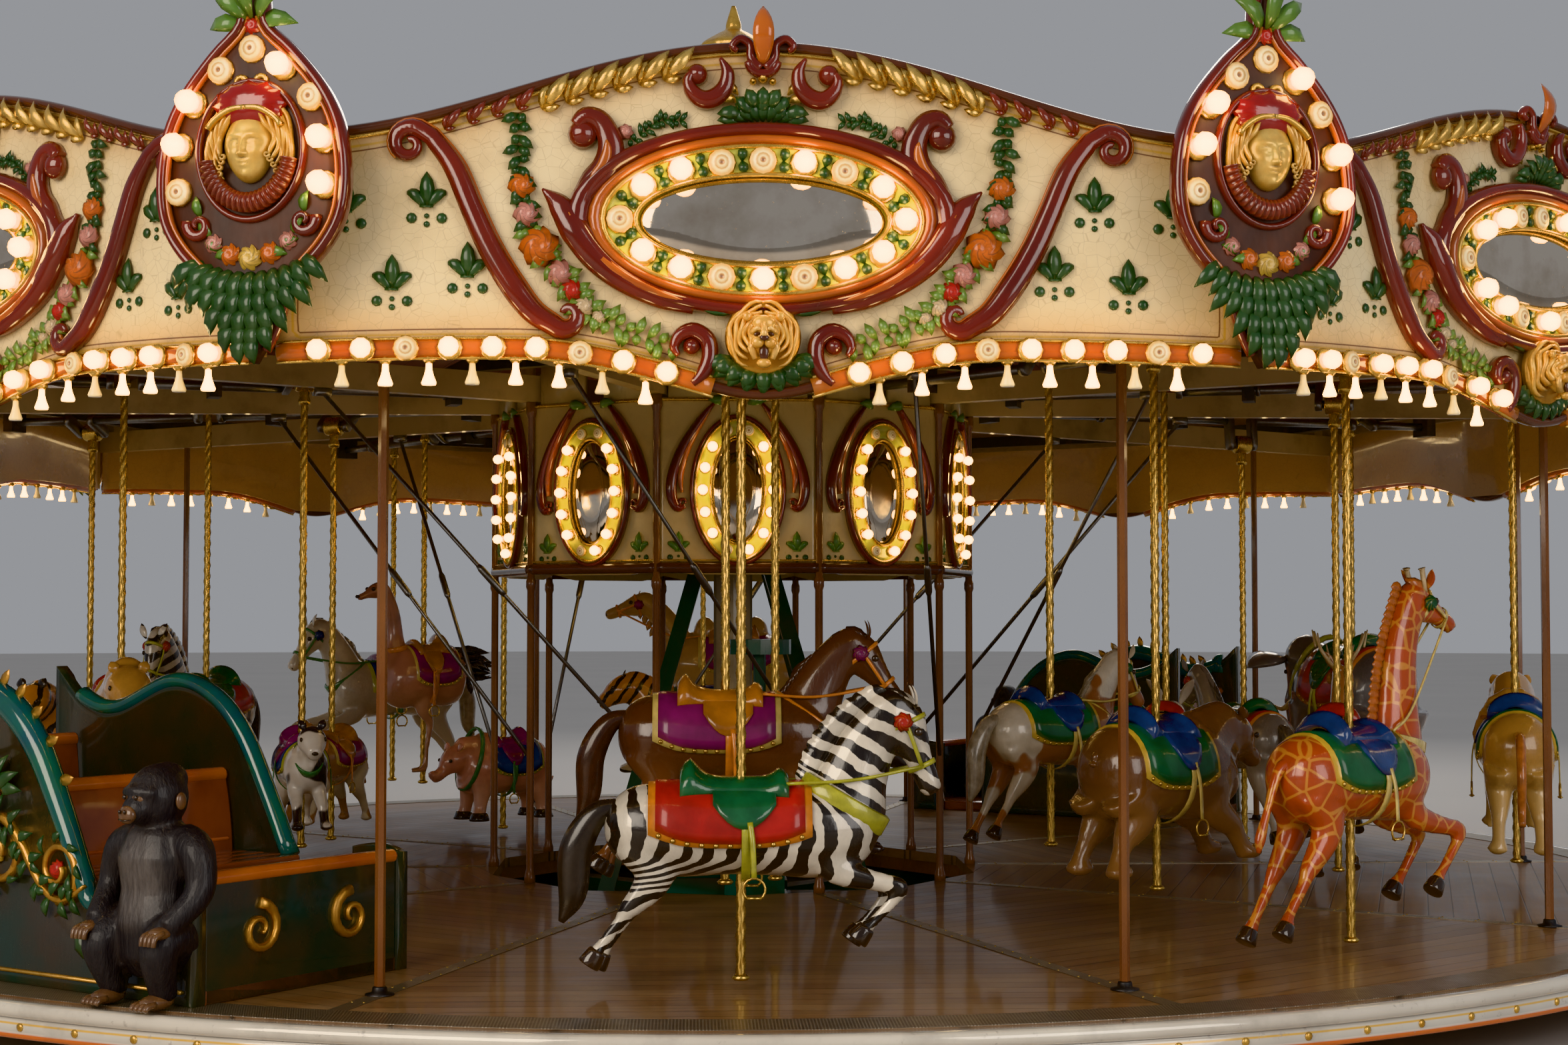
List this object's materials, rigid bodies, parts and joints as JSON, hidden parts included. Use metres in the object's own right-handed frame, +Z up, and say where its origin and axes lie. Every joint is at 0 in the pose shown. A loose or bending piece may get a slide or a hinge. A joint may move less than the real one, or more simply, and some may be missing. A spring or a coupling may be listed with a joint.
{
  "type": "fairground carousel",
  "caption": "Menagerie carousel: round platform and roof on a centre pole, carved rounding boards with mirrors, crank-driven jumping animals and bench chariots.",
  "frame": {"origin": "on the ground under the centre pole, at the middle of the feet", "axes": "+Z up along the centre pole; -Y looks out through the middle of section 01; +X is the way the front animals travel"},
  "size_m": [11.284, 10.7706, 5.23],
  "materials": {
    "fixed_steel": "dark green paint over steel",
    "pole_paint": "cream enamel",
    "gear_iron": "oiled cast iron",
    "drive_paint": "machine enamel",
    "sweep_paint": "cream painted beams",
    "crank_steel": "oiled steel",
    "roof_paint": "dark red painted roof panels",
    "gilt": "gilded",
    "deck_boards": "brown deck with worn metal tread",
    "rim_enamel": "gloss cream with an orange line",
    "frame_steel": "dark steel",
    "drum_paint": "ivory painted panels with mirrors and scrolls",
    "shield_carving": "gloss red brown carving with gold and green",
    "board_paint": "ivory painted boards with painted carving",
    "chariot_paint": "gloss red brown bench with carved sides",
    "animal_paint": "gloss painted carved animals on brass poles"
  },
  "bodies": {
    "base": {"base_frame": "fixed_steel", "centre_pole": "pole_paint", "ring_gear": "gear_iron", "drive_unit": "drive_paint"},
    "turntable": {"sweeps": "sweep_paint", "crank_ring_inner": "crank_steel", "crank_ring_middle": "crank_steel", "crank_ring_outer": "crank_steel", "roof_shell": "roof_paint", "crown_finial": "gilt", "platform_deck": "deck_boards", "platform_skirt": "rim_enamel", "platform_frame": "frame_steel", "centre_drum": "drum_paint", "corner_shields": "shield_carving", "rounding_board_01": "board_paint", "rounding_board_02": "board_paint", "rounding_board_03": "board_paint", "rounding_board_04": "board_paint", "rounding_board_05": "board_paint", "rounding_board_06": "board_paint", "rounding_board_07": "board_paint", "rounding_board_08": "board_paint", "rounding_board_09": "board_paint", "rounding_board_10": "board_paint", "chariot_05": "chariot_paint", "chariot_10": "chariot_paint"},
    "crankshaft_01": {"crankshaft_01": "crank_steel"},
    "zebra_outer_01": {"zebra_outer_01": "animal_paint"},
    "horse_middle_01": {"horse_middle_01": "animal_paint"},
    "panther_inner_01": {"panther_inner_01": "animal_paint"},
    "crankshaft_02": {"crankshaft_02": "crank_steel"},
    "giraffe_outer_02": {"giraffe_outer_02": "animal_paint"},
    "bear_middle_02": {"bear_middle_02": "animal_paint"},
    "horse_inner_02": {"horse_inner_02": "animal_paint"},
    "crankshaft_03": {"crankshaft_03": "crank_steel"},
    "lion_outer_03": {"lion_outer_03": "animal_paint"},
    "deer_middle_03": {"deer_middle_03": "animal_paint"},
    "rabbit_inner_03": {"rabbit_inner_03": "animal_paint"},
    "crankshaft_04": {"crankshaft_04": "crank_steel"},
    "elephant_outer_04": {"elephant_outer_04": "animal_paint"},
    "horse_middle_04": {"horse_middle_04": "animal_paint"},
    "cat_inner_04": {"cat_inner_04": "animal_paint"},
    "crankshaft_06": {"crankshaft_06": "crank_steel"},
    "camel_outer_06": {"camel_outer_06": "animal_paint"},
    "tiger_middle_06": {"tiger_middle_06": "animal_paint"},
    "goat_inner_06": {"goat_inner_06": "animal_paint"},
    "crankshaft_07": {"crankshaft_07": "crank_steel"},
    "horse_outer_07": {"horse_outer_07": "animal_paint"},
    "ostrich_middle_07": {"ostrich_middle_07": "animal_paint"},
    "pig_inner_07": {"pig_inner_07": "animal_paint"},
    "crankshaft_08": {"crankshaft_08": "crank_steel"},
    "tiger_outer_08": {"tiger_outer_08": "animal_paint"},
    "zebra_middle_08": {"zebra_middle_08": "animal_paint"},
    "dog_inner_08": {"dog_inner_08": "animal_paint"},
    "crankshaft_09": {"crankshaft_09": "crank_steel"},
    "deer_outer_09": {"deer_outer_09": "animal_paint"},
    "lion_middle_09": {"lion_middle_09": "animal_paint"},
    "cat_inner_09": {"cat_inner_09": "animal_paint"}
  },
  "joints": [
    {"name": "turntable_spin", "type": "hinge", "parent": "base", "child": "turntable", "pos_m": [0, 0, 0.3], "axis": [0, 0, 1], "continuous": true},
    {"name": "crankshaft_01_turn", "type": "hinge", "parent": "turntable", "child": "crankshaft_01", "pos_m": [0, -0.63, 2.92], "axis": [0, 1, 0], "continuous": true},
    {"name": "zebra_outer_01_hanger", "type": "hinge", "parent": "crankshaft_01", "child": "zebra_outer_01", "pos_m": [-0.0513, -4.25, 2.77905], "axis": [0, 1, 0], "continuous": true},
    {"name": "horse_middle_01_hanger", "type": "hinge", "parent": "crankshaft_01", "child": "horse_middle_01", "pos_m": [-0.09642, -3.35, 3.03491], "axis": [0, 1, 0], "continuous": true},
    {"name": "panther_inner_01_hanger", "type": "hinge", "parent": "crankshaft_01", "child": "panther_inner_01", "pos_m": [0.14772, -2.45, 2.94605], "axis": [0, 1, 0], "continuous": true},
    {"name": "crankshaft_02_turn", "type": "hinge", "parent": "turntable", "child": "crankshaft_02", "pos_m": [0.3703, -0.50968, 2.92], "axis": [-0.5878, 0.809, 0], "continuous": true},
    {"name": "giraffe_outer_02_hanger", "type": "hinge", "parent": "crankshaft_02", "child": "giraffe_outer_02", "pos_m": [2.54937, -3.40106, 2.78405], "axis": [-0.5878, 0.809, 0], "continuous": true},
    {"name": "bear_middle_02_hanger", "type": "hinge", "parent": "crankshaft_02", "child": "bear_middle_02", "pos_m": [1.84819, -2.79804, 2.93307], "axis": [-0.5878, 0.809, 0], "continuous": true},
    {"name": "horse_inner_02_hanger", "type": "hinge", "parent": "crankshaft_02", "child": "horse_inner_02", "pos_m": [1.50968, -1.93152, 3.04287], "axis": [-0.5878, 0.809, 0], "continuous": true},
    {"name": "crankshaft_03_turn", "type": "hinge", "parent": "turntable", "child": "crankshaft_03", "pos_m": [0.59917, -0.19468, 2.92], "axis": [-0.9511, 0.309, 0], "continuous": true},
    {"name": "lion_outer_03_hanger", "type": "hinge", "parent": "crankshaft_03", "child": "lion_outer_03", "pos_m": [4.08555, -1.17927, 2.8687], "axis": [-0.9511, 0.309, 0], "continuous": true},
    {"name": "deer_middle_03_hanger", "type": "hinge", "parent": "crankshaft_03", "child": "deer_middle_03", "pos_m": [3.15053, -1.14449, 2.82358], "axis": [-0.9511, 0.309, 0], "continuous": true},
    {"name": "rabbit_inner_03_hanger", "type": "hinge", "parent": "crankshaft_03", "child": "rabbit_inner_03", "pos_m": [2.32204, -0.78186, 3.06772], "axis": [-0.9511, 0.309, 0], "continuous": true},
    {"name": "crankshaft_04_turn", "type": "hinge", "parent": "turntable", "child": "crankshaft_04", "pos_m": [0.59917, 0.19468, 2.92], "axis": [-0.9511, -0.309, 0], "continuous": true},
    {"name": "elephant_outer_04_hanger", "type": "hinge", "parent": "crankshaft_04", "child": "elephant_outer_04", "pos_m": [3.99998, 1.44261, 2.98339], "axis": [-0.9511, -0.309, 0], "continuous": true},
    {"name": "horse_middle_04_hanger", "type": "hinge", "parent": "crankshaft_04", "child": "horse_middle_04", "pos_m": [3.19008, 1.02277, 2.77057], "axis": [-0.9511, -0.309, 0], "continuous": true},
    {"name": "cat_inner_04_hanger", "type": "hinge", "parent": "crankshaft_04", "child": "cat_inner_04", "pos_m": [2.36806, 0.64023, 3.00604], "axis": [-0.9511, -0.309, 0], "continuous": true},
    {"name": "crankshaft_06_turn", "type": "hinge", "parent": "turntable", "child": "crankshaft_06", "pos_m": [0, 0.63, 2.92], "axis": [0, -1, 0], "continuous": true},
    {"name": "camel_outer_06_hanger", "type": "hinge", "parent": "crankshaft_06", "child": "camel_outer_06", "pos_m": [0.06339, 4.25, 3.05595], "axis": [0, -1, 0], "continuous": true},
    {"name": "tiger_middle_06_hanger", "type": "hinge", "parent": "crankshaft_06", "child": "tiger_middle_06", "pos_m": [-0.14943, 3.35, 2.90693], "axis": [0, -1, 0], "continuous": true},
    {"name": "goat_inner_06_hanger", "type": "hinge", "parent": "crankshaft_06", "child": "goat_inner_06", "pos_m": [0.08604, 2.45, 2.79713], "axis": [0, -1, 0], "continuous": true},
    {"name": "crankshaft_07_turn", "type": "hinge", "parent": "turntable", "child": "crankshaft_07", "pos_m": [-0.3703, 0.50968, 2.92], "axis": [0.5878, -0.809, 0], "continuous": true},
    {"name": "horse_outer_07_hanger", "type": "hinge", "parent": "crankshaft_07", "child": "horse_outer_07", "pos_m": [-2.38405, 3.52117, 2.9713], "axis": [0.5878, -0.809, 0], "continuous": true},
    {"name": "ostrich_middle_07_hanger", "type": "hinge", "parent": "crankshaft_07", "child": "ostrich_middle_07", "pos_m": [-2.06204, 2.64267, 3.01642], "axis": [0.5878, -0.809, 0], "continuous": true},
    {"name": "pig_inner_07_hanger", "type": "hinge", "parent": "crankshaft_07", "child": "pig_inner_07", "pos_m": [-1.46115, 1.96678, 2.77228], "axis": [0.5878, -0.809, 0], "continuous": true},
    {"name": "crankshaft_08_turn", "type": "hinge", "parent": "turntable", "child": "crankshaft_08", "pos_m": [-0.59917, 0.19468, 2.92], "axis": [0.9511, -0.309, 0], "continuous": true},
    {"name": "tiger_outer_08_hanger", "type": "hinge", "parent": "crankshaft_08", "child": "tiger_outer_08", "pos_m": [-3.99998, 1.44261, 2.85661], "axis": [0.9511, -0.309, 0], "continuous": true},
    {"name": "zebra_middle_08_hanger", "type": "hinge", "parent": "crankshaft_08", "child": "zebra_middle_08", "pos_m": [-3.19008, 1.02277, 3.06943], "axis": [0.9511, -0.309, 0], "continuous": true},
    {"name": "dog_inner_08_hanger", "type": "hinge", "parent": "crankshaft_08", "child": "dog_inner_08", "pos_m": [-2.36806, 0.64023, 2.83396], "axis": [0.9511, -0.309, 0], "continuous": true},
    {"name": "crankshaft_09_turn", "type": "hinge", "parent": "turntable", "child": "crankshaft_09", "pos_m": [-0.59917, -0.19468, 2.92], "axis": [0.9511, 0.309, 0], "continuous": true},
    {"name": "deer_outer_09_hanger", "type": "hinge", "parent": "crankshaft_09", "child": "deer_outer_09", "pos_m": [-4.05784, -1.26453, 2.77905], "axis": [0.9511, 0.309, 0], "continuous": true},
    {"name": "lion_middle_09_hanger", "type": "hinge", "parent": "crankshaft_09", "child": "lion_middle_09", "pos_m": [-3.21583, -0.94351, 3.03491], "axis": [0.9511, 0.309, 0], "continuous": true},
    {"name": "cat_inner_09_hanger", "type": "hinge", "parent": "crankshaft_09", "child": "cat_inner_09", "pos_m": [-2.28444, -0.89758, 2.94605], "axis": [0.9511, 0.309, 0], "continuous": true}
  ],
  "couplings": [
    {"joint": "crankshaft_01_turn", "follows": "turntable_spin", "ratio": 4.5},
    {"joint": "zebra_outer_01_hanger", "follows": "turntable_spin", "ratio": -4.5},
    {"joint": "horse_middle_01_hanger", "follows": "turntable_spin", "ratio": -4.5},
    {"joint": "panther_inner_01_hanger", "follows": "turntable_spin", "ratio": -4.5},
    {"joint": "crankshaft_02_turn", "follows": "turntable_spin", "ratio": 4.5},
    {"joint": "giraffe_outer_02_hanger", "follows": "turntable_spin", "ratio": -4.5},
    {"joint": "bear_middle_02_hanger", "follows": "turntable_spin", "ratio": -4.5},
    {"joint": "horse_inner_02_hanger", "follows": "turntable_spin", "ratio": -4.5},
    {"joint": "crankshaft_03_turn", "follows": "turntable_spin", "ratio": 4.5},
    {"joint": "lion_outer_03_hanger", "follows": "turntable_spin", "ratio": -4.5},
    {"joint": "deer_middle_03_hanger", "follows": "turntable_spin", "ratio": -4.5},
    {"joint": "rabbit_inner_03_hanger", "follows": "turntable_spin", "ratio": -4.5},
    {"joint": "crankshaft_04_turn", "follows": "turntable_spin", "ratio": 4.5},
    {"joint": "elephant_outer_04_hanger", "follows": "turntable_spin", "ratio": -4.5},
    {"joint": "horse_middle_04_hanger", "follows": "turntable_spin", "ratio": -4.5},
    {"joint": "cat_inner_04_hanger", "follows": "turntable_spin", "ratio": -4.5},
    {"joint": "crankshaft_06_turn", "follows": "turntable_spin", "ratio": 4.5},
    {"joint": "camel_outer_06_hanger", "follows": "turntable_spin", "ratio": -4.5},
    {"joint": "tiger_middle_06_hanger", "follows": "turntable_spin", "ratio": -4.5},
    {"joint": "goat_inner_06_hanger", "follows": "turntable_spin", "ratio": -4.5},
    {"joint": "crankshaft_07_turn", "follows": "turntable_spin", "ratio": 4.5},
    {"joint": "horse_outer_07_hanger", "follows": "turntable_spin", "ratio": -4.5},
    {"joint": "ostrich_middle_07_hanger", "follows": "turntable_spin", "ratio": -4.5},
    {"joint": "pig_inner_07_hanger", "follows": "turntable_spin", "ratio": -4.5},
    {"joint": "crankshaft_08_turn", "follows": "turntable_spin", "ratio": 4.5},
    {"joint": "tiger_outer_08_hanger", "follows": "turntable_spin", "ratio": -4.5},
    {"joint": "zebra_middle_08_hanger", "follows": "turntable_spin", "ratio": -4.5},
    {"joint": "dog_inner_08_hanger", "follows": "turntable_spin", "ratio": -4.5},
    {"joint": "crankshaft_09_turn", "follows": "turntable_spin", "ratio": 4.5},
    {"joint": "deer_outer_09_hanger", "follows": "turntable_spin", "ratio": -4.5},
    {"joint": "lion_middle_09_hanger", "follows": "turntable_spin", "ratio": -4.5},
    {"joint": "cat_inner_09_hanger", "follows": "turntable_spin", "ratio": -4.5}
  ]
}
